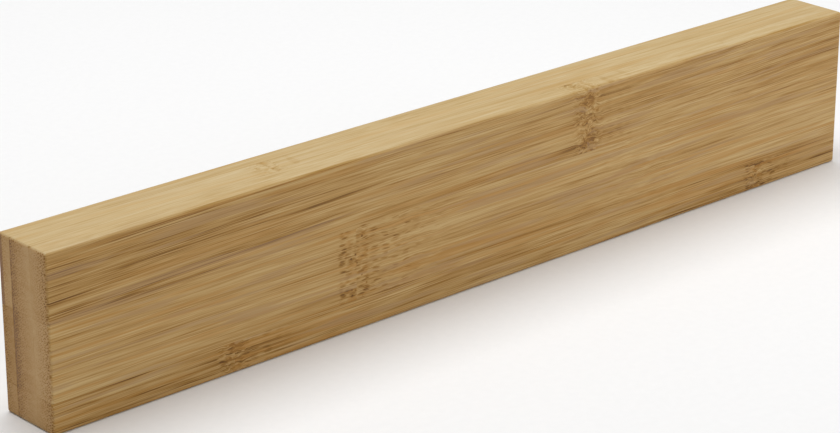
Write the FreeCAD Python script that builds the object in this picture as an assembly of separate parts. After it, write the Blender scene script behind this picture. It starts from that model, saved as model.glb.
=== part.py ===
"""Magnetic knife rack: a laminated bamboo bar with block magnets sealed in a channel behind its front face.

The origin is the middle of the back face, the one that lies against the wall. +X runs along the bar,
+Z is up, and the front face, which holds the knives, looks along -Y. All sizes are in millimetres.
"""

import FreeCAD, Part
import os

# The whole bar
LENGTH = 365.0
HEIGHT = 60.0
DEPTH = 25.0
EDGE_ROUND = 1.0

# The bar is three layers glued face to face, and each layer is three strips glued edge to edge
FRONT_LAYER = 8.3
BACK_LAYER = 6.5
LOWER_STRIP = 10.8
MIDDLE_STRIP = 25.8

# The channel for the magnets, routed into the core and front layers before the back layer goes on
FRONT_WALL = 3.0
CHANNEL_LENGTH = 292.0
CHANNEL_HEIGHT = 46.0
CHANNEL_CORNER = 5.0

# Ferrite block magnets in two rows, the steel plate behind them and the foam that presses on it
MAGNET_LENGTH = 40.0
MAGNET_HEIGHT = 20.0
MAGNET_THICKNESS = 10.0
MAGNET_EASE = 0.6
MAGNETS_IN_A_ROW = 7
MAGNET_PITCH = 41.5
ROW_PITCH = 21.5
YOKE_LENGTH = 290.0
YOKE_HEIGHT = 44.0
YOKE_THICKNESS = 3.0
YOKE_CORNER = 4.0

# Keyhole hanger plates, let in flush with the back
HANGER_SPACING = 310.0
PLATE_WIDTH = 16.0
PLATE_HEIGHT = 40.0
PLATE_THICKNESS = 1.5
PLATE_Z = 2.0
SEAT_GAP = 0.15
ENTRY_RADIUS = 4.75
ENTRY_Z = -2.5
SLOT_RADIUS = 2.4
SLOT_RISE = 10.5
POCKET_RADIUS = 5.75
POCKET_DEPTH = 5.8

# The countersunk wood screws that hold the hanger plates
SCREW_SPACING = 30.5
SCREW_LENGTH = 12.0
THREAD_RADIUS = 1.5
THREAD_PITCH = 1.4
THREAD_TURNS = 5
CORE_RADIUS = 1.05
HEAD_RADIUS = 2.9
HEAD_RIM = 0.2
HEAD_HEIGHT = 1.5
CROSS_SPAN = 3.2
CROSS_WIDTH = 0.7
CROSS_DEPTH = 1.1
CROSS_TAPER = 0.4

OUT = "parts"

# Planes that the driving dimensions give
FRONT_Y = -DEPTH
CORE_FRONT_Y = FRONT_Y + FRONT_LAYER
CORE_BACK_Y = -BACK_LAYER
CHANNEL_FLOOR_Y = FRONT_Y + FRONT_WALL
MAGNET_BACK_Y = CHANNEL_FLOOR_Y + MAGNET_THICKNESS
YOKE_BACK_Y = MAGNET_BACK_Y + YOKE_THICKNESS
BOTTOM_Z = -HEIGHT / 2
LOWER_JOINT_Z = BOTTOM_Z + LOWER_STRIP
UPPER_JOINT_Z = LOWER_JOINT_Z + MIDDLE_STRIP
TOP_Z = HEIGHT / 2
SLOT_END_Z = ENTRY_Z + SLOT_RISE
HANGER_X = {"left": -HANGER_SPACING / 2, "right": HANGER_SPACING / 2}
ROWS = {
    "lower": (BOTTOM_Z, LOWER_JOINT_Z),
    "middle": (LOWER_JOINT_Z, UPPER_JOINT_Z),
    "upper": (UPPER_JOINT_Z, TOP_Z),
}


def centred(size, middle=0.0):
    """The range of a size about its middle."""
    return middle - size / 2, middle + size / 2


def block(x_range, y_range, z_range):
    """A box from its ranges along the three axes."""
    low = FreeCAD.Vector(x_range[0], y_range[0], z_range[0])
    length, depth, height = (high - start for start, high in (x_range, y_range, z_range))
    return Part.makeBox(length, depth, height, low)


def round_corners(shape, radius):
    """The shape with its four edges along Y made round."""
    edges = [edge for edge in shape.Edges if abs(edge.tangentAt(edge.FirstParameter).y) > 0.99]
    return shape.makeFillet(radius, edges)


def rod(radius, x, z, y_range):
    """A cylinder along Y."""
    foot = FreeCAD.Vector(x, y_range[0], z)
    return Part.makeCylinder(radius, y_range[1] - y_range[0], foot, FreeCAD.Vector(0, 1, 0))


def upright_slot(radius, x, z_range, y_range):
    """A slot with round ends, its end centres at the two heights of z_range."""
    ends = [rod(radius, x, z, y_range) for z in z_range]
    straight = block((x - radius, x + radius), y_range, z_range)
    return straight.fuse(ends).removeSplitter()


def bar():
    """The outside of the whole bar, with all its edges eased."""
    shape = block(centred(LENGTH), (FRONT_Y, 0), centred(HEIGHT))
    return shape.makeFillet(EDGE_ROUND, shape.Edges)


def channel():
    """The space for the magnets, with the round corners that the cutter leaves."""
    shape = block(centred(CHANNEL_LENGTH), (CHANNEL_FLOOR_Y, CORE_BACK_Y), centred(CHANNEL_HEIGHT))
    return round_corners(shape, CHANNEL_CORNER)


def plate_outline(x, gap):
    """The hanger plate without its holes, or its seat in the wood where there is a gap all round."""
    end_centres = centred(PLATE_HEIGHT - PLATE_WIDTH, PLATE_Z)
    return upright_slot(PLATE_WIDTH / 2 + gap, x, end_centres, (-PLATE_THICKNESS, 0))


def screw_places():
    """The x and z of the four screws."""
    return [(x, z) for x in HANGER_X.values() for z in centred(SCREW_SPACING, PLATE_Z)]


def hanger_recess(x):
    """What is cut from the back for one plate: its seat, and room for a wall screw's head behind it."""
    pocket = upright_slot(POCKET_RADIUS, x, (ENTRY_Z, SLOT_END_Z), (-POCKET_DEPTH, 0))
    return plate_outline(x, SEAT_GAP).fuse(pocket)


def screw_holes():
    """The holes that the screws fill in the wood."""
    return [rod(THREAD_RADIUS, x, z, (-SCREW_LENGTH, 0)) for x, z in screw_places()]


def bamboo_strips():
    """The strips of the three layers. The channel cuts the middle strip of the core in two."""
    outside = bar()
    layers = {
        "front": ((FRONT_Y, CORE_FRONT_Y), [channel()]),
        "core": ((CORE_FRONT_Y, CORE_BACK_Y), [channel()] + screw_holes()),
        "back": ((CORE_BACK_Y, 0), [hanger_recess(x) for x in HANGER_X.values()] + screw_holes()),
    }
    strips = {}
    for layer, (y_range, cuts) in layers.items():
        for row, z_range in ROWS.items():
            strip = outside.common(block(centred(LENGTH), y_range, z_range)).cut(cuts)
            pieces = sorted(strip.Solids, key=lambda solid: solid.CenterOfMass.x)
            sides = [""] if len(pieces) == 1 else ["_left", "_right"]
            for side, piece in zip(sides, pieces, strict=True):
                strips[f"{layer}_strip_{row}{side}"] = piece
    return strips


def magnets():
    """Two rows of block magnets against the front wall of the channel, each with its edges eased."""
    row_heights = dict(zip(("lower", "upper"), centred(ROW_PITCH), strict=True))
    first_x = -MAGNET_PITCH * (MAGNETS_IN_A_ROW - 1) / 2
    half_length = MAGNET_LENGTH / 2
    half_height = MAGNET_HEIGHT / 2
    blocks = {}
    for row, z in row_heights.items():
        for number in range(MAGNETS_IN_A_ROW):
            x = first_x + number * MAGNET_PITCH
            magnet = block(
                (x - half_length, x + half_length),
                (CHANNEL_FLOOR_Y, MAGNET_BACK_Y),
                (z - half_height, z + half_height),
            )
            blocks[f"magnet_{row}_{number + 1}"] = magnet.makeFillet(MAGNET_EASE, magnet.Edges)
    return blocks


def channel_plate(y_range):
    """A flat plate that fills the channel's length and height behind the magnets."""
    return round_corners(block(centred(YOKE_LENGTH), y_range, centred(YOKE_HEIGHT)), YOKE_CORNER)


def screw_body(x, z):
    """The outside of one screw: a countersunk head, ridges for the thread and a point."""
    head_foot = -HEAD_HEIGHT
    thread_foot = -SCREW_LENGTH + THREAD_PITCH
    thread_top = thread_foot + THREAD_TURNS * THREAD_PITCH
    profile = [(0, 0), (HEAD_RADIUS, 0), (HEAD_RADIUS, -HEAD_RIM), (THREAD_RADIUS, head_foot),
               (THREAD_RADIUS, thread_top)]
    for turn in range(THREAD_TURNS):
        y = thread_top - turn * THREAD_PITCH
        profile += [(CORE_RADIUS, y - THREAD_PITCH / 4), (CORE_RADIUS, y - THREAD_PITCH * 3 / 4)]
        profile += [(THREAD_RADIUS, y - THREAD_PITCH)]
    profile += [(0, -SCREW_LENGTH), (0, 0)]
    outline = Part.makePolygon([FreeCAD.Vector(x + radius, y, z) for radius, y in profile])
    axis_point = FreeCAD.Vector(x, 0, z)
    return Part.Face(outline).revolve(axis_point, FreeCAD.Vector(0, 1, 0), 360)


def cross_recess(x, z):
    """The cross in a screw's head, which narrows as it goes in."""
    y_range = (-CROSS_DEPTH, 0)
    across = block((x - CROSS_SPAN / 2, x + CROSS_SPAN / 2), y_range, (z - CROSS_WIDTH / 2, z + CROSS_WIDTH / 2))
    upright = across.copy()
    upright.rotate(FreeCAD.Vector(x, 0, z), FreeCAD.Vector(0, 1, 0), 90)
    foot = FreeCAD.Vector(x, -CROSS_DEPTH, z)
    taper = Part.makeCone(CROSS_TAPER, CROSS_SPAN / 2, CROSS_DEPTH, foot, FreeCAD.Vector(0, 1, 0))
    return across.fuse(upright).common(taper)


def screws():
    """The four wood screws, each turned a little differently, as they are when driven home."""
    made = []
    for number, (x, z) in enumerate(screw_places()):
        screw = screw_body(x, z).cut(cross_recess(x, z))
        screw.rotate(FreeCAD.Vector(x, 0, z), FreeCAD.Vector(0, 1, 0), number * 25)
        made.append(screw)
    return Part.makeCompound(made)


def countersink(x, z):
    """The seat of a screw's head and neck in a plate."""
    neck = rod(THREAD_RADIUS, x, z, (-PLATE_THICKNESS, 0))
    rim = rod(HEAD_RADIUS, x, z, (-HEAD_RIM, 0))
    foot = FreeCAD.Vector(x, -HEAD_HEIGHT, z)
    cone = Part.makeCone(THREAD_RADIUS, HEAD_RADIUS, HEAD_HEIGHT - HEAD_RIM, foot, FreeCAD.Vector(0, 1, 0))
    return neck.fuse([rim, cone])


def keyhole_plate(x):
    """One hanger plate: a round entry for the wall screw's head, a slot that rises from it, two screws."""
    through = (-PLATE_THICKNESS, 0)
    entry = rod(ENTRY_RADIUS, x, ENTRY_Z, through)
    slot = upright_slot(SLOT_RADIUS, x, (ENTRY_Z, SLOT_END_Z), through)
    sinks = [countersink(x, z) for z in centred(SCREW_SPACING, PLATE_Z)]
    return plate_outline(x, 0).cut([entry.fuse(slot)] + sinks)


def main():
    """Builds every node and writes one STEP file for each."""
    nodes = bamboo_strips()
    nodes.update(magnets())
    nodes["yoke_plate"] = channel_plate((MAGNET_BACK_Y, YOKE_BACK_Y))
    nodes["packing_strip"] = channel_plate((YOKE_BACK_Y, CORE_BACK_Y))
    for side, x in HANGER_X.items():
        nodes[f"keyhole_plate_{side}"] = keyhole_plate(x)
    nodes["hanger_screws"] = screws()
    os.makedirs(OUT, exist_ok=True)
    for name, shape in nodes.items():
        shape.exportStep(f"{OUT}/{name}.step")
        print(name, "solids", len(shape.Solids), "valid", shape.isValid(), "mm3", round(shape.Volume, 1))


main()
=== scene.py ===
"""Looks for the magnetic knife rack: sanded bamboo, plated hangers and the magnets sealed inside."""

import math

import bmesh
import bpy
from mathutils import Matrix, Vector, noise


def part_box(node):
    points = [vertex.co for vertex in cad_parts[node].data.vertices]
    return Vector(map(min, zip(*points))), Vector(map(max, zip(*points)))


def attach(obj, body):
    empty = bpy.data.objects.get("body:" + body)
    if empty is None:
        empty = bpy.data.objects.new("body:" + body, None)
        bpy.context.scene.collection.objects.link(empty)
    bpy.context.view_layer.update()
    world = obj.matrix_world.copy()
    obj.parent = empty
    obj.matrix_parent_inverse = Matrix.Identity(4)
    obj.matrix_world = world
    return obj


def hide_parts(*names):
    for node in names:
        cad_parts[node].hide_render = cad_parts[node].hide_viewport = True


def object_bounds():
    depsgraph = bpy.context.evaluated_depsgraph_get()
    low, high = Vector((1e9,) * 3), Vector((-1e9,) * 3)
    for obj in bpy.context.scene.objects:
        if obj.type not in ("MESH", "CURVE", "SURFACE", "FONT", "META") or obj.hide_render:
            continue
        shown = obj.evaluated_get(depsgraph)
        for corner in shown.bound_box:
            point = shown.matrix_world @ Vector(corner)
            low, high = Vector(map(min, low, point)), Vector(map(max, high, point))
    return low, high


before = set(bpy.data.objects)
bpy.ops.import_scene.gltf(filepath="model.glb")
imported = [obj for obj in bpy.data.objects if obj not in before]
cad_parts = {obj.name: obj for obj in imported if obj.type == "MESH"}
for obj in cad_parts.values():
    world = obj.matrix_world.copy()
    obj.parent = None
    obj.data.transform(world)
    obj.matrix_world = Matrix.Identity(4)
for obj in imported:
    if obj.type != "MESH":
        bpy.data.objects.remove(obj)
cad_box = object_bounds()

MM = 0.001

# The bar in the row frame, in millimetres
HALF = Vector((182.5, 12.5, 30.0))
MIDDLE = Vector((0, -12.5, 0))
DEPTH = 2 * HALF.y
ROUND = 1.0

# How near the rounded outside a point has to be to be sanded, in millimetres
ROUND_SLACK = 0.06

# The layers' Y from the inner side to the skin side of their bamboo
FRONT = (-16.7, -25.0)
CORE = (-16.7, -6.5)
BACK = (-6.5, 0.0)

# Glue joints: the axis across, where, half width, and how dark at least and at most
JOINTS = (
    ("Y", -16.7, 0.20, 0.02, 0.14),
    ("Y", -6.5, 0.34, 0.10, 0.22),
    ("Z", -19.2, 0.22, 0.02, 0.24),
    ("Z", 6.6, 0.22, 0.00, 0.14),
)
JOINT_PATCHES = (26, 6, 6)

# Meshes of the strips: spacing of the cuts that give them points to move, in millimetres
CUT_X = 2.0
CUT_Y = 1.6
CUT_Z = 1.5
KNUCKLE_CUT = 0.7
KNUCKLE_REACH = 8.0
WELD = 1e-7
FLAT_ANGLE = math.radians(0.5)
SHARP_ANGLE = math.radians(32)

# How far sanding takes the surface inwards, and the size of its lumps along X, Y and Z, in millimetres
PLANE_WAVE = 0.05
EDGE_WEAR = 0.15
KNUCKLE_RELIEF = 0.07
WAVE_LUMPS = (38, 17, 21)
RAGGED_LUMPS = (9, 7, 7)
BROAD_LUMPS = (45, 20, 20)
KNUCKLE_LUMPS = (1.7, 1.9, 1.4)
RAGGED_SHIFT = 31
BROAD_SHIFT = 57

# Bamboo colours from pale to dark, as linear RGB
PALE = (0.620, 0.430, 0.185)
HONEY = (0.500, 0.300, 0.096)
BROWN = (0.350, 0.172, 0.027)
DARK = (0.150, 0.058, 0.004)
ORANGE = (0.500, 0.236, 0.040)
GREYED = (0.430, 0.268, 0.130)
SKIN = (0.200, 0.085, 0.035)
WARMTH = 0.46
WOOD_RAMP = [(0.0, PALE), (0.38, HONEY), (0.72, BROWN), (1.0, DARK)]

# What the colours are multiplied by on the ends, and on the level faces, where it is a painted sheen that
# whitens them as if they reflected the lamp above
END_GRAIN = (0.98, 0.98, 1.20)
LEVEL_FACE_SHEEN = (1.05, 1.22, 1.65)

# How far apart the strips' patterns are taken for each step of their seeds
SEED_STEP = (613.0, 71.0, 97.0)

# How far to the side the pattern of the fibres jumps at a knuckle, in millimetres
KNUCKLE_JUMP = 17.0

# Fibre bundles: how their grid is turned about X, and how far apart they are
BUNDLE_TURN = math.radians(35)
BUNDLE_PITCH = (0.84, 0.76)

# The sizes of the patterns in the wood along X, Y and Z, in millimetres
WANDER = (120, 40, 34)
WAVES = (11, 4, 3.4)
CURLS = (3.6, 2.4, 2.2)
HAIR = (24, 0.42, 0.28)
LINES = (34, 0.9, 0.46)
CORDS = (80, 1.6, 0.80)
STREAKS = (62, 2.2, 1.3)
BANDS = (110, 7.0, 3.8)
THREADS = (50, 0.8, 0.38)
EBB = (44, 3.0, 2.0)
WARM_STREAKS = (70, 3.0, 1.5)
GREY_PATCHES = (44, 4.0, 1.9)
SKIN_PATCHES = (90, 4.0, 2.6)

# The same for the patterns in a knuckle
RAGGED_SIDES = (9, 4, 3.4)
STOPPED_FIBRES = (3.6, DEPTH, 1.08)
FLECKS = (4.6, DEPTH, 1.0)
PITS = (2.3, 2.6, 2.2)
EYES = (5.6, DEPTH, 4.0)
BLOTCHES = (4.4, 3.0, 2.0)

# How dark each mark of a knuckle is where its fibres run straight, and where they curl
KNUCKLE_DARKNESS = {
    "flecks": (0.52, 0.22),
    "pits": (0.56, 0.30),
    "rings": (0.0, 0.25),
    "blotches": (0.16, 0.20),
    "threads": (0.14, 0.22),
}

CAMERA_PLACE = (-0.61614, -0.6705, 0.34035)
CAMERA_AZIMUTH = -42.122
CAMERA_ELEVATION = 21.191
CAMERA_LENS = 120.04

FLOOR_SIZE = 8.0
SURROUND = 0.30

# Soft square lights: name, place, target, size and power
LIGHTS = (
    ("overhead", (-0.02, 0.28, 1.3), (0, 0, 0), (1.5, 1.2), 17.6),
    ("right", (0.62, -0.66, 0.38), (0.08, 0, 0), (0.6, 0.5), 2.3),
)

# One entry a strip, in millimetres:
#   skin: its layer's Y from the inner to the skin side
#   rind and dots: how much darker its ends are towards the skin side, and in the fibre bundles there
#   contrast, wander, slope: of the grain, how far its fibres stray up and down, and their rise along X
#   tone, end_tone: how much darker it is, and its ends where that differs
#   warmth: how orange its warm streaks are, where that differs from WARMTH
#   knuckles: (x, reach, strength, curl)
#   wavy: zones of wavy fibres, (x, half length, strength)
#   marks: darker or paler patches, (x, y, z, half length, half depth, half height, strength)
#   skin_band: how deep the bamboo's reddish skin reaches into its back
STRIPS = {
    "front_strip_upper": {
        "seed": 1,
        "skin": FRONT,
        "rind": 0.10,
        "dots": 0.50,
        "contrast": 1.1,
        "wander": 2.4,
        "slope": 0.016,
        "tone": 0.06,
        "warmth": 0.26,
        "knuckles": [(46.5, 6.5, 0.95, 0.9)],
        "wavy": [(110, 60, 0.35)],
        "marks": [
            (-146, -25, 27.2, 42, 3, 1.4, 0.32),
            (-184, -25, 22, 26, 4, 7.5, 0.26),
            (-184, -25, 12, 26, 4, 6.0, 0.22),
            (-120, -25, 19, 85, 4, 14, 0.13),
            (155, -25, 18, 40, 4, 14, 0.09),
            (-150, -25, 7.7, 60, 3, 1.3, 0.28),
            (-134, -25, 10.4, 66, 3, 1.4, 0.26),
            (-150, -25, 17.5, 50, 3, 1.0, 0.20),
            (-84, -25, 10.8, 44, 3, 0.9, 0.24),
            (-70, -24.8, 29.2, 150, 1.2, 0.9, 0.34),
            (110, -24.8, 29.2, 90, 1.2, 0.8, 0.22),
            (178, -25, 18.5, 16, 3, 4.0, 0.12),
            (118, -25, 22, 18, 3, 2.6, 0.18),
            (-10, -25, 15, 45, 3, 1.4, 0.18),
            (-80, -25, 18, 55, 3, 1.2, 0.18),
            (20, -25, 9.5, 60, 3, 1.6, 0.16),
        ],
    },
    "front_strip_middle": {
        "seed": 2,
        "skin": FRONT,
        "rind": 0.10,
        "dots": 0.50,
        "contrast": 0.95,
        "wander": 1.0,
        "slope": 0.004,
        "tone": 0.0,
        "knuckles": [(-60.5, 7.6, 1.0, 0.0)],
        "wavy": [(-38, 30, 0.9), (72, 32, 0.7)],
        "marks": [
            (150, -25, -15, 50, 3, 3.0, -0.16),
            (72, -25, -2, 34, 3, 9, -0.14),
            (105, -25, -10.5, 50, 3, 5, -0.12),
            (0, -25, -16.5, 40, 3, 1.2, 0.2),
            (-150, -25, -16, 30, 3, 3, 0.10),
            (140, -25, -18.4, 55, 3, 1.3, 0.16),
            (-160, -25, 3.5, 34, 4, 5, 0.10),
        ],
    },
    "front_strip_lower": {
        "seed": 3,
        "skin": FRONT,
        "rind": 0.10,
        "dots": 0.50,
        "contrast": 1.35,
        "wander": 1.2,
        "slope": 0.006,
        "tone": 0.07,
        "knuckles": [(-112.0, 6.0, 1.1, 0.5), (136.3, 5.0, 1.3, 0.5)],
        "wavy": [],
        "marks": [
            (35, -25, -26.5, 85, 3, 5.5, -0.13),
            (-150, -25, -28.2, 40, 3, 1.3, 0.14),
            (-124, -25, -24.0, 20, 4, 2.6, 0.28),
            (-97, -25, -24.0, 15, 4, 2.0, 0.26),
            (122, -25, -25, 16, 4, 3.4, 0.18),
            (152, -25, -24, 14, 4, 2.4, 0.16),
            (140, -25, -20.2, 50, 3, 1.2, 0.17),
            (-60, -25, -20.6, 36, 3, 1.0, 0.16),
        ],
    },
    "core_strip_upper": {
        "seed": 4,
        "skin": CORE,
        "rind": 0.44,
        "dots": 0.36,
        "contrast": 1.0,
        "wander": 1.2,
        "slope": 0.01,
        "tone": 0.0,
        "knuckles": [(-86.0, 4.2, 0.75, 0.7)],
        "wavy": [],
        "marks": [(60, -12, 30, 120, 6, 4, 0.08)],
    },
    "core_strip_middle_left": {
        "seed": 5,
        "skin": CORE,
        "rind": 0.56,
        "dots": 0.36,
        "contrast": 1.0,
        "wander": 1.0,
        "slope": 0.0,
        "tone": 0.03,
        "knuckles": [],
        "wavy": [],
        "marks": [],
    },
    "core_strip_middle_right": {
        "seed": 6,
        "skin": CORE,
        "rind": 0.56,
        "dots": 0.36,
        "contrast": 1.0,
        "wander": 1.0,
        "slope": 0.0,
        "tone": 0.03,
        "knuckles": [],
        "wavy": [],
        "marks": [],
    },
    "core_strip_lower": {
        "seed": 7,
        "skin": CORE,
        "rind": 0.30,
        "dots": 0.36,
        "contrast": 1.0,
        "wander": 1.2,
        "slope": -0.008,
        "tone": 0.03,
        "knuckles": [(20.0, 4.0, 0.5, 0.4)],
        "wavy": [],
        "marks": [],
    },
    "back_strip_upper": {
        "seed": 8,
        "skin": BACK,
        "rind": 0.10,
        "dots": 0.40,
        "contrast": 1.0,
        "wander": 1.6,
        "slope": 0.008,
        "tone": 0.06,
        "knuckles": [],
        "wavy": [(-40, 40, 0.4)],
        "marks": [],
        "skin_band": 2.3,
    },
    "back_strip_middle": {
        "seed": 9,
        "skin": BACK,
        "rind": 0.10,
        "dots": 0.40,
        "contrast": 1.0,
        "wander": 1.2,
        "slope": -0.005,
        "tone": 0.08,
        "end_tone": 0.24,
        "knuckles": [(-38.0, 7.5, 1.0, 0.2)],
        "wavy": [(30, 45, 0.5)],
        "marks": [],
    },
    "back_strip_lower": {
        "seed": 10,
        "skin": BACK,
        "rind": 0.10,
        "dots": 0.40,
        "contrast": 1.2,
        "wander": 1.6,
        "slope": 0.01,
        "tone": 0.08,
        "end_tone": 0.18,
        "knuckles": [(118.0, 6.0, 0.9, 0.6)],
        "wavy": [],
        "marks": [],
    },
}


# Meshes


def steps(low, high, spacing):
    """Evenly spaced places between two ends, with neither end among them."""
    count = max(1, round((high - low) / spacing))
    return [low + (high - low) * step / count for step in range(1, count)]


def cut(bm, axis, places):
    """Cuts a mesh across one axis at each of the places, which are in metres."""
    across = Vector((0, 0, 0))
    across[axis] = 1
    for place in places:
        everything = bm.verts[:] + bm.edges[:] + bm.faces[:]
        bmesh.ops.bisect_plane(bm, geom=everything, plane_co=across * place, plane_no=across, dist=WELD)


def cut_places(low, high, knuckles):
    """Where a strip is cut along each axis: on an even grid, and closer together round its knuckles."""
    along = steps(-HALF.x, HALF.x, CUT_X)
    for x, *_ in knuckles:
        along += steps(x - KNUCKLE_REACH, x + KNUCKLE_REACH, KNUCKLE_CUT)
    inside = [place * MM for place in along if low.x < place * MM < high.x]
    return [inside, steps(low.y, high.y, CUT_Y * MM), steps(low.z, high.z, CUT_Z * MM)]


def outward(place):
    """The bar's outward direction at a point of its rounded outside, or None away from it."""
    offset = place - MIDDLE
    beyond = [max(abs(offset[axis]) - (HALF[axis] - ROUND), 0) for axis in range(3)]
    reach = Vector(beyond)
    if abs(reach.length - ROUND) > ROUND_SLACK:
        return None
    direction = reach / reach.length
    return Vector([math.copysign(direction[axis], offset[axis]) for axis in range(3)])


def lumps(place, size, shift=0):
    """Noise between -1 and 1 in lumps of a size along each axis; a shift gives other lumps."""
    return noise.noise(Vector((place.x / size[0], place.y / size[1] + shift, place.z / size[2])))


def wear(place, direction, knuckles):
    """How far inwards the surface lies at a point of the outside, in millimetres."""
    depth = PLANE_WAVE * (0.5 + 0.5 * lumps(place, WAVE_LUMPS))
    corner = (1 - max(abs(part) for part in direction)) / (1 - math.sqrt(0.5))
    ragged = lumps(place, RAGGED_LUMPS, RAGGED_SHIFT)
    broad = lumps(place, BROAD_LUMPS, BROAD_SHIFT)
    depth += EDGE_WEAR * min(corner, 1) * min(max(0.5 + 0.35 * ragged + 0.6 * broad, 0), 1)
    for x, reach, strength, _ in knuckles:
        near = max(0, 1 - abs(place.x - x) / reach)
        depth += KNUCKLE_RELIEF * strength * near * (0.5 + 0.5 * lumps(place, KNUCKLE_LUMPS))
    return depth


def build_strip(node, strip):
    """A strip's CAD shape on a grid of points, with its outside sanded in."""
    mesh = bpy.data.meshes.new("bamboo_" + node)
    bm = bmesh.new()
    bm.from_mesh(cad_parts[node].data)
    bmesh.ops.remove_doubles(bm, verts=bm.verts, dist=WELD)
    bmesh.ops.dissolve_limit(bm, angle_limit=FLAT_ANGLE, verts=bm.verts, edges=bm.edges)
    low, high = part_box(node)
    for axis, places in enumerate(cut_places(low, high, strip["knuckles"])):
        cut(bm, axis, places)
    for vert in bm.verts:
        place = vert.co / MM
        direction = outward(place)
        if direction is not None:
            vert.co = (place - direction * wear(place, direction, strip["knuckles"])) * MM
    for face in bm.faces:
        face.smooth = True
    bm.to_mesh(mesh)
    bm.free()
    mesh.set_sharp_from_angle(angle=SHARP_ANGLE)
    piece = bpy.data.objects.new(mesh.name, mesh)
    bpy.context.scene.collection.objects.link(piece)
    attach(piece, "root")
    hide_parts(node)
    return piece


# Materials


class Graph:
    """A new material, whose shader nodes are added one at a time."""

    def __init__(self, name):
        self.material = bpy.data.materials.new(name)
        self.material.use_nodes = True
        self.tree = self.material.node_tree
        self.shader = self.tree.nodes["Principled BSDF"]

    def feed(self, socket, value):
        """Links a node's output to a socket, or sets the socket's own value."""
        if isinstance(value, bpy.types.NodeSocket):
            self.tree.links.new(value, socket)
        elif isinstance(value, (tuple, list)) and socket.type == "RGBA":
            socket.default_value = (*value, 1)
        else:
            socket.default_value = value

    def add(self, kind, *inputs, output=0, **settings):
        """Adds a node, feeds its first inputs in order and gives back one of its outputs."""
        node = self.tree.nodes.new("ShaderNode" + kind)
        for name, value in settings.items():
            setattr(node, name, value)
        for socket, value in zip(node.inputs, inputs):
            self.feed(socket, value)
        return node.outputs[output]

    def math(self, operation, *inputs):
        return self.add("Math", *inputs, operation=operation)

    def total(self, *values):
        """The sum of several values."""
        result = values[0]
        for value in values[1:]:
            result = self.math("ADD", result, value)
        return result

    def largest(self, *values):
        """The largest of several values."""
        result = values[0]
        for value in values[1:]:
            result = self.math("MAXIMUM", result, value)
        return result

    def times(self, *values):
        """The product of several values."""
        result = values[0]
        for value in values[1:]:
            result = self.math("MULTIPLY", result, value)
        return result

    def vector(self, operation, *inputs, output=0):
        return self.add("VectorMath", *inputs, operation=operation, output=output)

    def fade(self, value, start, end):
        """0 where the value is at start, 1 where it is at end, with a smooth turn between."""
        return self.add("MapRange", value, start, end, 0.0, 1.0, interpolation_type="SMOOTHSTEP")

    def blend(self, factor, a, b, blend_type="MIX"):
        """Two colours mixed by a factor."""
        node = self.tree.nodes.new("ShaderNodeMix")
        node.data_type = "RGBA"
        node.blend_type = blend_type
        self.feed(node.inputs[0], factor)
        self.feed(node.inputs[6], a)
        self.feed(node.inputs[7], b)
        return node.outputs[2]

    def noise(self, place, size, detail=2.0, roughness=0.5, output=0):
        """Cloudy noise with features of a size along each axis, in millimetres."""
        scaled = self.vector("DIVIDE", place, size)
        node = self.tree.nodes.new("ShaderNodeTexNoise")
        self.feed(node.inputs["Vector"], scaled)
        node.inputs["Scale"].default_value = 1.0
        node.inputs["Detail"].default_value = detail
        node.inputs["Roughness"].default_value = roughness
        return node.outputs[output]

    def cells(self, place, size, randomness=1.0, dimensions="3D"):
        """Distance to the nearest of scattered points, and that point's random colour."""
        scaled = self.vector("DIVIDE", place, size)
        node = self.tree.nodes.new("ShaderNodeTexVoronoi")
        node.voronoi_dimensions = dimensions
        self.feed(node.inputs["Vector"], scaled)
        node.inputs["Scale"].default_value = 1.0
        node.inputs["Randomness"].default_value = randomness
        return node.outputs["Distance"], node.outputs["Color"]

    def place(self):
        """The point being shaded, in the row frame, in millimetres."""
        coordinates = self.tree.nodes.new("ShaderNodeTexCoord")
        return self.vector("DIVIDE", coordinates.outputs["Object"], (MM, MM, MM))

    def facing(self):
        """The surface's own direction, as its three parts without their signs."""
        coordinates = self.tree.nodes.new("ShaderNodeTexCoord")
        parts = self.add("SeparateXYZ", coordinates.outputs["Normal"]).node.outputs
        return [self.math("ABSOLUTE", part) for part in parts]

    def ramp(self, value, colours):
        """A value from 0 to 1 turned into colours at given positions."""
        node = self.tree.nodes.new("ShaderNodeValToRGB")
        self.feed(node.inputs[0], value)
        stops = node.color_ramp.elements
        stops[0].position, stops[0].color = colours[0][0], (*colours[0][1], 1)
        stops[1].position, stops[1].color = colours[-1][0], (*colours[-1][1], 1)
        for position, colour in colours[1:-1]:
            stops.new(position).color = (*colour, 1)
        return node.outputs[0]

    def bump(self, height, depth, strength=1.0):
        """A surface direction from a height of 0 to 1 that stands for a depth in millimetres."""
        node = self.tree.nodes.new("ShaderNodeBump")
        node.inputs["Strength"].default_value = strength
        node.inputs["Distance"].default_value = depth * MM
        self.feed(node.inputs["Height"], height)
        return node.outputs[0]

    def finish(self, **values):
        """Sets the shader's inputs by name, with _ for a space."""
        for name, value in values.items():
            self.feed(self.shader.inputs[name.replace("_", " ")], value)
        return self.material


def centred_noise(g, place, size, swing, detail=1.0):
    """A vector that wanders about zero by a swing along each axis, in millimetres."""
    colour = g.noise(place, size, detail=detail, output=1)
    return g.vector("MULTIPLY", g.vector("SUBTRACT", colour, (0.5, 0.5, 0.5)), swing)


def pattern_shift(strip):
    """Where a strip's patterns are taken from, so that no two strips look alike."""
    return tuple(step * strip["seed"] for step in SEED_STEP)


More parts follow.
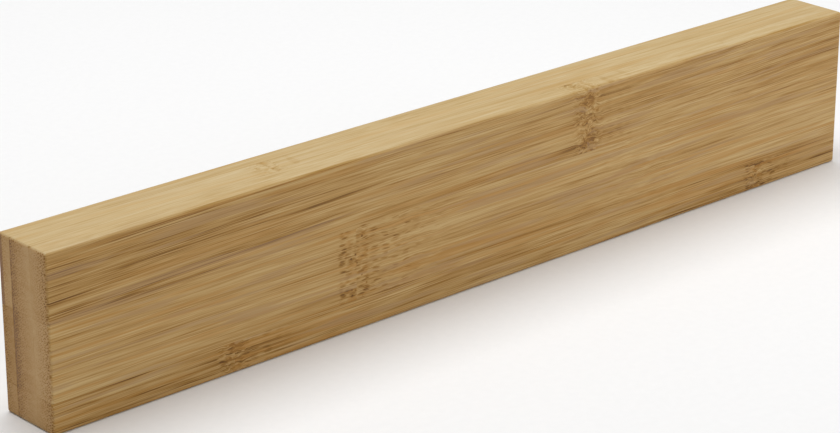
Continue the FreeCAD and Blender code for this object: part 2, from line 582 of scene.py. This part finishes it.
def fibre_place(g, place, x, strip):
    """The point as the fibres see it: they run at a slope, wander, and wave and curl in places."""
    moved = g.vector("ADD", place, pattern_shift(strip))
    slope = g.add("CombineXYZ", 0.0, 0.0, g.math("MULTIPLY", x, -strip["slope"]))
    moved = g.vector("ADD", moved, slope)
    wander = centred_noise(g, moved, WANDER, (0, 2.0, strip["wander"]))
    moved = g.vector("ADD", moved, wander)
    for middle, half_length, strength in strip["wavy"]:
        near = g.fade(g.math("ABSOLUTE", g.math("SUBTRACT", x, middle)), half_length, half_length * 0.3)
        waves = centred_noise(g, place, WAVES, (0, 1.6 * strength, 2.0 * strength), detail=2.0)
        moved = g.vector("ADD", moved, g.vector("MULTIPLY", waves, near))
    for middle, reach, _, curl in strip["knuckles"]:
        near = g.fade(g.math("ABSOLUTE", g.math("SUBTRACT", x, middle)), reach * 1.5, reach * 0.4)
        curls = centred_noise(g, place, CURLS, (8.0 * curl, 3.0 * curl, 5.0 * curl))
        moved = g.vector("ADD", moved, g.vector("MULTIPLY", curls, near))
    return moved


def past_knuckles(g, sweep, x, knuckles):
    """The fibres' own place, which jumps sideways at each knuckle, where fibres stop and others start."""
    for middle, *_ in knuckles:
        jump = g.times(g.math("GREATER_THAN", x, middle), KNUCKLE_JUMP)
        sweep = g.vector("ADD", sweep, g.add("CombineXYZ", 0.0, jump, 0.0))
    return sweep


def knuckle_zones(g, place, x, knuckle):
    """A knuckle's left side, its middle, the flecks to its right and the cloud round it, each 0 to 1."""
    middle, reach, *_ = knuckle
    ragged = g.times(g.math("SUBTRACT", g.noise(place, RAGGED_SIDES, detail=2.0), 0.5), 7.0)
    along = g.math("ADD", g.math("SUBTRACT", x, middle), ragged)
    left = g.fade(g.math("ABSOLUTE", g.math("ADD", along, reach * 0.7)), 3.2, 1.4)
    centre = g.fade(g.math("ABSOLUTE", along), reach * 0.85, reach * 0.4)
    right = g.times(g.fade(along, 0.0, 0.4 * reach), g.fade(along, 4.8 * reach, 1.5 * reach))
    cloud = g.fade(g.math("ABSOLUTE", g.math("ADD", along, reach * 0.2)), reach * 2.4, reach * 0.3)
    return left, centre, right, cloud


def dashes_and_flecks(g, place, across):
    """The dark ends of stopped fibres, and finer, tilted ones."""
    stop, stop_shade = g.cells(across, STOPPED_FIBRES, randomness=0.8)
    shade = g.math("MULTIPLY_ADD", g.add("SeparateColor", stop_shade), 0.6, 0.4)
    dashes = g.times(g.fade(stop, 0.60, 0.27), shade)
    tilted = g.vector("ADD", across, centred_noise(g, place, (8.0, 5.0, 5.0), (0.0, 0.0, 2.6)))
    short, short_shade = g.cells(tilted, FLECKS, randomness=0.85)
    flecks = g.times(g.fade(short, 0.50, 0.22), g.add("SeparateColor", short_shade))
    return dashes, flecks


def pits_and_rings(g, place, across):
    """Small dark pits, and rings round the small eyes of side shoots."""
    spot, spot_shade = g.cells(place, PITS, randomness=0.9)
    pits = g.times(g.fade(spot, 0.26, 0.14), g.fade(g.add("SeparateColor", spot_shade), 0.45, 0.55))
    bent = g.vector("ADD", across, centred_noise(g, place, (3.0, 3.0, 2.4), (3.4, 0.0, 1.8)))
    eye, _ = g.cells(bent, EYES, randomness=0.7)
    rings = g.fade(g.math("ABSOLUTE", g.math("SUBTRACT", eye, 0.42)), 0.20, 0.02)
    return pits, rings


def knuckle_marks(g, place, threads, x, knuckle):
    """How dark and how orange one knuckle makes the wood."""
    *_, strength, curl = knuckle
    left, centre, right, cloud = knuckle_zones(g, place, x, knuckle)
    across = g.vector("SUBTRACT", place, MIDDLE)
    dashes, flecks = dashes_and_flecks(g, place, across)
    pits, rings = pits_and_rings(g, place, across)
    blotches = g.times(g.fade(g.noise(place, BLOTCHES, detail=1.0), 0.52, 0.62), centre)
    marks = {
        "flecks": g.times(flecks, right),
        "pits": g.times(pits, centre),
        "rings": g.times(rings, centre),
        "blotches": blotches,
        "threads": g.times(threads, cloud),
    }
    dark = [g.times(dashes, g.largest(g.times(left, 0.56), g.times(centre, 0.40)), 1.0 - curl)]
    for name, (straight, curled) in KNUCKLE_DARKNESS.items():
        dark.append(g.times(marks[name], straight + (curled - straight) * curl))
    dark.append(g.times(centre, -0.07))
    return g.times(g.total(*dark), strength), g.times(blotches, strength, 0.7 + 0.3 * curl)


def mark(g, sweep, strip, spot):
    """A long darker or paler patch that follows the fibres, as a stretched soft-edged ball."""
    x, y, z, *halves, strength = spot
    shift = pattern_shift(strip)
    middle = (x + shift[0], y + shift[1], z + shift[2] - strip["slope"] * x)
    away = g.vector("DIVIDE", g.vector("SUBTRACT", sweep, middle), halves)
    distance = g.vector("LENGTH", away, output=1)
    return g.times(g.fade(distance, 1.0, 0.35), strength)


def glue_lines(g, place):
    """The thin dark lines along the joints between the layers and between the strips."""
    parts = dict(zip("XYZ", g.add("SeparateXYZ", place).node.outputs))
    patchy = g.fade(g.noise(place, JOINT_PATCHES, detail=2.0), 0.40, 0.60)
    lines = []
    for axis, level, width, least, most in JOINTS:
        away = g.math("ABSOLUTE", g.math("SUBTRACT", parts[axis], level))
        strength = g.math("MULTIPLY_ADD", patchy, most - least, least)
        lines.append(g.times(g.fade(away, width, width * 0.3), strength))
    return g.largest(*lines)


def fibre_bundles(g, fibre, density):
    """The fibre bundles, which are dots in a slice across the bamboo: up to 1 in them, 0 between them."""
    turned = g.add("VectorRotate", fibre, (0, 0, 0), (1, 0, 0), BUNDLE_TURN, rotation_type="AXIS_ANGLE")
    _, across, up = g.add("SeparateXYZ", turned).node.outputs
    slice_place = g.add("CombineXYZ", across, up, 0.0)
    distance, shade = g.cells(slice_place, (*BUNDLE_PITCH, 1.0), randomness=0.62, dimensions="2D")
    radius = g.math("MULTIPLY_ADD", density, 0.18, 0.20)
    body = g.fade(g.math("SUBTRACT", radius, distance), -0.07, 0.10)
    return g.times(body, g.math("MULTIPLY_ADD", g.add("SeparateColor", shade), 0.55, 0.45))


def face_shares(g):
    """How far a point is on an end, on a level face and on a rounded long edge, each from 0 to 1."""
    end, broad, level = g.facing()
    rounding = g.fade(g.largest(end, broad, level), 0.97, 0.80)
    long_edge = g.times(rounding, g.fade(end, 0.35, 0.10))
    return g.fade(end, 0.55, 0.85), g.fade(level, 0.45, 0.85), long_edge


def grain_layers(g, fibre, contrast):
    """The finest grain and the streaks, each about zero, and all the grain added up."""
    hair = g.math("SUBTRACT", g.noise(fibre, HAIR, detail=2.0, roughness=0.65), 0.5)
    lines = g.fade(g.noise(fibre, LINES, detail=1.0), 0.57, 0.66)
    cords = g.fade(g.noise(fibre, CORDS, detail=1.0), 0.58, 0.67)
    streaks = g.math("SUBTRACT", g.noise(fibre, STREAKS, detail=2.0, roughness=0.55), 0.5)
    bands = g.math("SUBTRACT", g.noise(fibre, BANDS, detail=2.0), 0.5)
    grain = g.total(
        g.times(hair, 1.25),
        g.times(lines, 0.14),
        g.times(cords, 0.12),
        g.times(streaks, 0.5),
        g.times(bands, 0.6),
    )
    return hair, streaks, g.times(grain, contrast)


def rind_darkness(g, density, bundles, strip):
    """How much darker the ends are towards the skin side."""
    rise = g.total(g.times(g.fade(density, 0.55, 1.0), 0.68), g.times(g.fade(density, -0.1, 0.6), 0.36))
    return g.times(rise, g.math("MULTIPLY_ADD", bundles, 0.16, 0.78), strip["rind"])


def skin_band(g, fibre, y, strip, end, level):
    """The bamboo's skin along the back of a strip: whole on its ends, in streaks along its face."""
    edge = strip["skin"][1] - strip["skin_band"]
    band = g.fade(y, edge - 0.25, edge + 0.15)
    patchy = g.fade(g.noise(fibre, SKIN_PATCHES, detail=2.0), 0.40, 0.62)
    return g.times(band, g.math("SUBTRACT", 1.0, level), g.largest(end, patchy), 0.62)


def bamboo(name, strip):
    """Bamboo whose fibres run along X: streaks on its long faces and fibre bundles as dots on its ends."""
    g = Graph(name)
    place = g.place()
    x, y, _ = g.add("SeparateXYZ", place).node.outputs
    end, level, long_edge = face_shares(g)
    side = g.math("SUBTRACT", 1.0, end)
    sweep = fibre_place(g, place, x, strip)
    fibre = past_knuckles(g, sweep, x, strip["knuckles"])

    density = g.add("MapRange", y, *strip["skin"], 0.0, 1.0)
    bundles = fibre_bundles(g, fibre, density)
    ebb = g.math("MULTIPLY_ADD", g.fade(g.noise(fibre, EBB, detail=1.0), 0.36, 0.60), 0.75, 0.25)
    hair, streaks, grain = grain_layers(g, fibre, strip["contrast"])
    calm = g.math("MULTIPLY_ADD", level, -0.45, 1.0)
    rind = rind_darkness(g, density, bundles, strip)
    end_tone = strip.get("end_tone", strip["tone"]) - strip["tone"]
    dark = g.total(
        g.math("MULTIPLY_ADD", end, end_tone, 0.29 + strip["tone"]),
        g.times(grain, g.math("MULTIPLY_ADD", end, -0.7, calm)),
        g.times(bundles, g.times(calm, ebb, side), 0.17),
        g.times(bundles, end, g.fade(density, -0.2, 0.8), strip["dots"]),
        g.times(rind, end),
        # Painted sheen: the level faces are made paler, as if lit from above, and most of the strip's tone
        # is left off them
        g.times(level, -0.03 - 0.5 * strip["tone"]),
        # Painted shading of the rounded long edges: darker in patches, for how the lit rounding looks
        g.times(long_edge, ebb, 0.14),
    )
    threads = g.fade(g.noise(fibre, THREADS, detail=1.0), 0.46, 0.60)
    patches = [mark(g, sweep, strip, spot) for spot in strip["marks"]]
    if patches:
        broken = g.math("MULTIPLY_ADD", threads, 1.25, 0.25)
        dark = g.math("ADD", dark, g.times(g.total(*patches), broken, side))
    warm = g.fade(g.noise(fibre, WARM_STREAKS, detail=2.0), 0.52, 0.64)
    # Painted shading of the rounded long edges as well: they are made orange, for how the lit rounding
    # looks
    warm = g.largest(g.times(warm, g.math("MULTIPLY_ADD", level, -0.5, 1.0)), g.times(long_edge, 0.8))
    for knuckle in strip["knuckles"]:
        knuckle_dark, knuckle_warm = knuckle_marks(g, place, threads, x, knuckle)
        dark = g.math("ADD", dark, knuckle_dark)
        warm = g.largest(warm, knuckle_warm)
    dark = g.math("ADD", dark, glue_lines(g, place))

    colour = g.ramp(dark, WOOD_RAMP)
    colour = g.blend(g.times(warm, side, strip.get("warmth", WARMTH)), colour, ORANGE)
    grey = g.fade(g.noise(fibre, GREY_PATCHES, detail=1.0), 0.55, 0.66)
    grey = g.times(grey, g.math("MULTIPLY_ADD", level, -0.36, 0.42), side)
    colour = g.blend(g.largest(grey, g.times(rind, end, 0.5)), colour, GREYED)
    if "skin_band" in strip:
        colour = g.blend(skin_band(g, fibre, y, strip, end, level), colour, SKIN)
    colour = g.blend(end, colour, g.blend(1.0, colour, END_GRAIN, "MULTIPLY"))
    # Painted sheen: the level faces are whitened, as if they reflected the lamp above
    colour = g.blend(level, colour, g.blend(1.0, colour, LEVEL_FACE_SHEEN, "MULTIPLY"))

    height = g.total(g.times(hair, 0.9), g.times(bundles, -0.35), g.times(dark, -0.4))
    roughness = g.total(0.50, g.times(streaks, 0.35), g.times(end, 0.14))
    return g.finish(
        Base_Color=colour,
        Roughness=roughness,
        Specular_IOR_Level=0.35,
        Normal=g.bump(height, 0.06, strength=0.6),
    )


def plated_steel(name):
    """Zinc-plated sheet steel: a pale cloudy plating with fine rolling lines."""
    g = Graph(name)
    place = g.place()
    clouds = g.noise(place, (5, 5, 5), detail=4.0, roughness=0.6)
    lines = g.noise(place, (0.12, 0.12, 9), detail=3.0)
    colour = g.ramp(clouds, [(0.3, (0.33, 0.34, 0.36)), (0.7, (0.52, 0.52, 0.52))])
    roughness = g.total(0.18, g.times(clouds, 0.22), g.times(lines, 0.12))
    normal = g.bump(lines, 0.02, strength=0.5)
    return g.finish(Base_Color=colour, Metallic=1.0, Roughness=roughness, Normal=normal)


def screw_steel(name):
    """Bright screw steel with turning marks."""
    g = Graph(name)
    place = g.place()
    clouds = g.noise(place, (2, 2, 2), detail=4.0)
    rings = g.noise(place, (0.3, 0.08, 0.3), detail=2.0)
    colour = g.ramp(clouds, [(0.3, (0.46, 0.46, 0.47)), (0.7, (0.64, 0.63, 0.61))])
    roughness = g.total(0.22, g.times(clouds, 0.2))
    normal = g.bump(rings, 0.015, strength=0.5)
    return g.finish(Base_Color=colour, Metallic=1.0, Roughness=roughness, Normal=normal)


def ferrite(name):
    """Sintered ferrite: dark grey, matt and finely grained."""
    g = Graph(name)
    place = g.place()
    grain = g.noise(place, (0.35, 0.35, 0.35), detail=4.0, roughness=0.65)
    stains = g.noise(place, (9, 9, 9), detail=3.0)
    colour = g.ramp(grain, [(0.3, (0.028, 0.028, 0.031)), (0.7, (0.075, 0.074, 0.075))])
    colour = g.blend(g.times(g.fade(stains, 0.5, 0.7), 0.4), colour, (0.10, 0.085, 0.07))
    roughness = g.total(0.5, g.times(grain, 0.3))
    return g.finish(Base_Color=colour, Roughness=roughness, Normal=g.bump(grain, 0.05))


def plain_steel(name):
    """Bare rolled steel with a thin film of oil."""
    g = Graph(name)
    place = g.place()
    clouds = g.noise(place, (14, 14, 10), detail=4.0, roughness=0.6)
    lines = g.noise(place, (30, 0.2, 0.2), detail=3.0)
    colour = g.ramp(clouds, [(0.3, (0.30, 0.29, 0.28)), (0.7, (0.48, 0.47, 0.45))])
    roughness = g.total(0.26, g.times(clouds, 0.2), g.times(lines, 0.12))
    normal = g.bump(lines, 0.02, strength=0.6)
    return g.finish(Base_Color=colour, Metallic=1.0, Roughness=roughness, Normal=normal)


def foam_rubber(name):
    """Black closed-cell foam with small pores."""
    g = Graph(name)
    place = g.place()
    distance, _ = g.cells(place, (0.7, 0.7, 0.7))
    pores = g.fade(distance, 0.45, 0.15)
    colour = g.ramp(pores, [(0.0, (0.045, 0.045, 0.047)), (1.0, (0.012, 0.012, 0.013))])
    return g.finish(Base_Color=colour, Roughness=0.85, Normal=g.bump(pores, -0.2))


def floor_paint(name):
    """The studio floor: plain, pale and matt, with a barely visible tooth."""
    g = Graph(name)
    tooth = g.noise(g.place(), (3, 3, 3), detail=3.0)
    colour = g.ramp(tooth, [(0.3, (0.885, 0.885, 0.885)), (0.7, (0.90, 0.90, 0.90))])
    return g.finish(Base_Color=colour, Roughness=0.75, Specular_IOR_Level=0.15)


def dress(material, *names):
    """Gives CAD nodes a material in place of their own."""
    for name in names:
        for material_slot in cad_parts[name].material_slots:
            material_slot.link = "OBJECT"
            material_slot.material = material


def dress_hardware():
    """Materials for the parts that keep their CAD shapes."""
    magnets = [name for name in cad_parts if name.startswith("magnet_")]
    dress(ferrite("ferrite_grain"), *magnets)
    dress(plain_steel("rolled_steel"), "yoke_plate")
    dress(foam_rubber("foam_cells"), "packing_strip")
    dress(plated_steel("zinc_plate"), "keyhole_plate_left", "keyhole_plate_right")
    dress(screw_steel("turned_steel"), "hanger_screws")


# Studio


def make_floor():
    """A plain floor under the bar."""
    half = FLOOR_SIZE / 2
    level = cad_box[0].z
    mesh = bpy.data.meshes.new("floor")
    corners = [(-half, -half, level), (half, -half, level), (half, half, level), (-half, half, level)]
    mesh.from_pydata(corners, [], [(0, 1, 2, 3)])
    mesh.materials.append(floor_paint("floor_paint"))
    floor = bpy.data.objects.new("floor", mesh)
    bpy.context.scene.collection.objects.link(floor)


def make_light(name, place, target, size, power):
    """A soft square light that looks at a target."""
    light = bpy.data.lights.new(name, "AREA")
    light.shape = "RECTANGLE"
    light.size, light.size_y = size
    light.energy = power
    lamp = bpy.data.objects.new(name, light)
    lamp.location = place
    lamp.rotation_euler = (Vector(target) - Vector(place)).to_track_quat("-Z", "Y").to_euler()
    bpy.context.scene.collection.objects.link(lamp)


def make_world():
    """An even, dim white surround."""
    world = bpy.data.worlds.new("studio")
    world.use_nodes = True
    background = world.node_tree.nodes["Background"]
    background.inputs["Color"].default_value = (1, 1, 1, 1)
    background.inputs["Strength"].default_value = SURROUND
    bpy.context.scene.world = world


def make_camera():
    """A long lens that looks down along the bar from its left end."""
    azimuth, elevation = math.radians(CAMERA_AZIMUTH), math.radians(CAMERA_ELEVATION)
    back = Vector(
        (
            math.sin(azimuth) * math.cos(elevation),
            -math.cos(azimuth) * math.cos(elevation),
            math.sin(elevation),
        )
    )
    data = bpy.data.cameras.new("camera")
    data.lens = CAMERA_LENS
    camera = bpy.data.objects.new("camera", data)
    camera.location = CAMERA_PLACE
    camera.rotation_euler = (-back).to_track_quat("-Z", "Y").to_euler()
    bpy.context.scene.collection.objects.link(camera)
    bpy.context.scene.camera = camera


for node, strip in STRIPS.items():
    build_strip(node, strip).data.materials.append(bamboo("grain_" + node, strip))
dress_hardware()
make_floor()
make_world()
for light in LIGHTS:
    make_light(*light)
make_camera()
bpy.context.scene.view_settings.view_transform = "Standard"
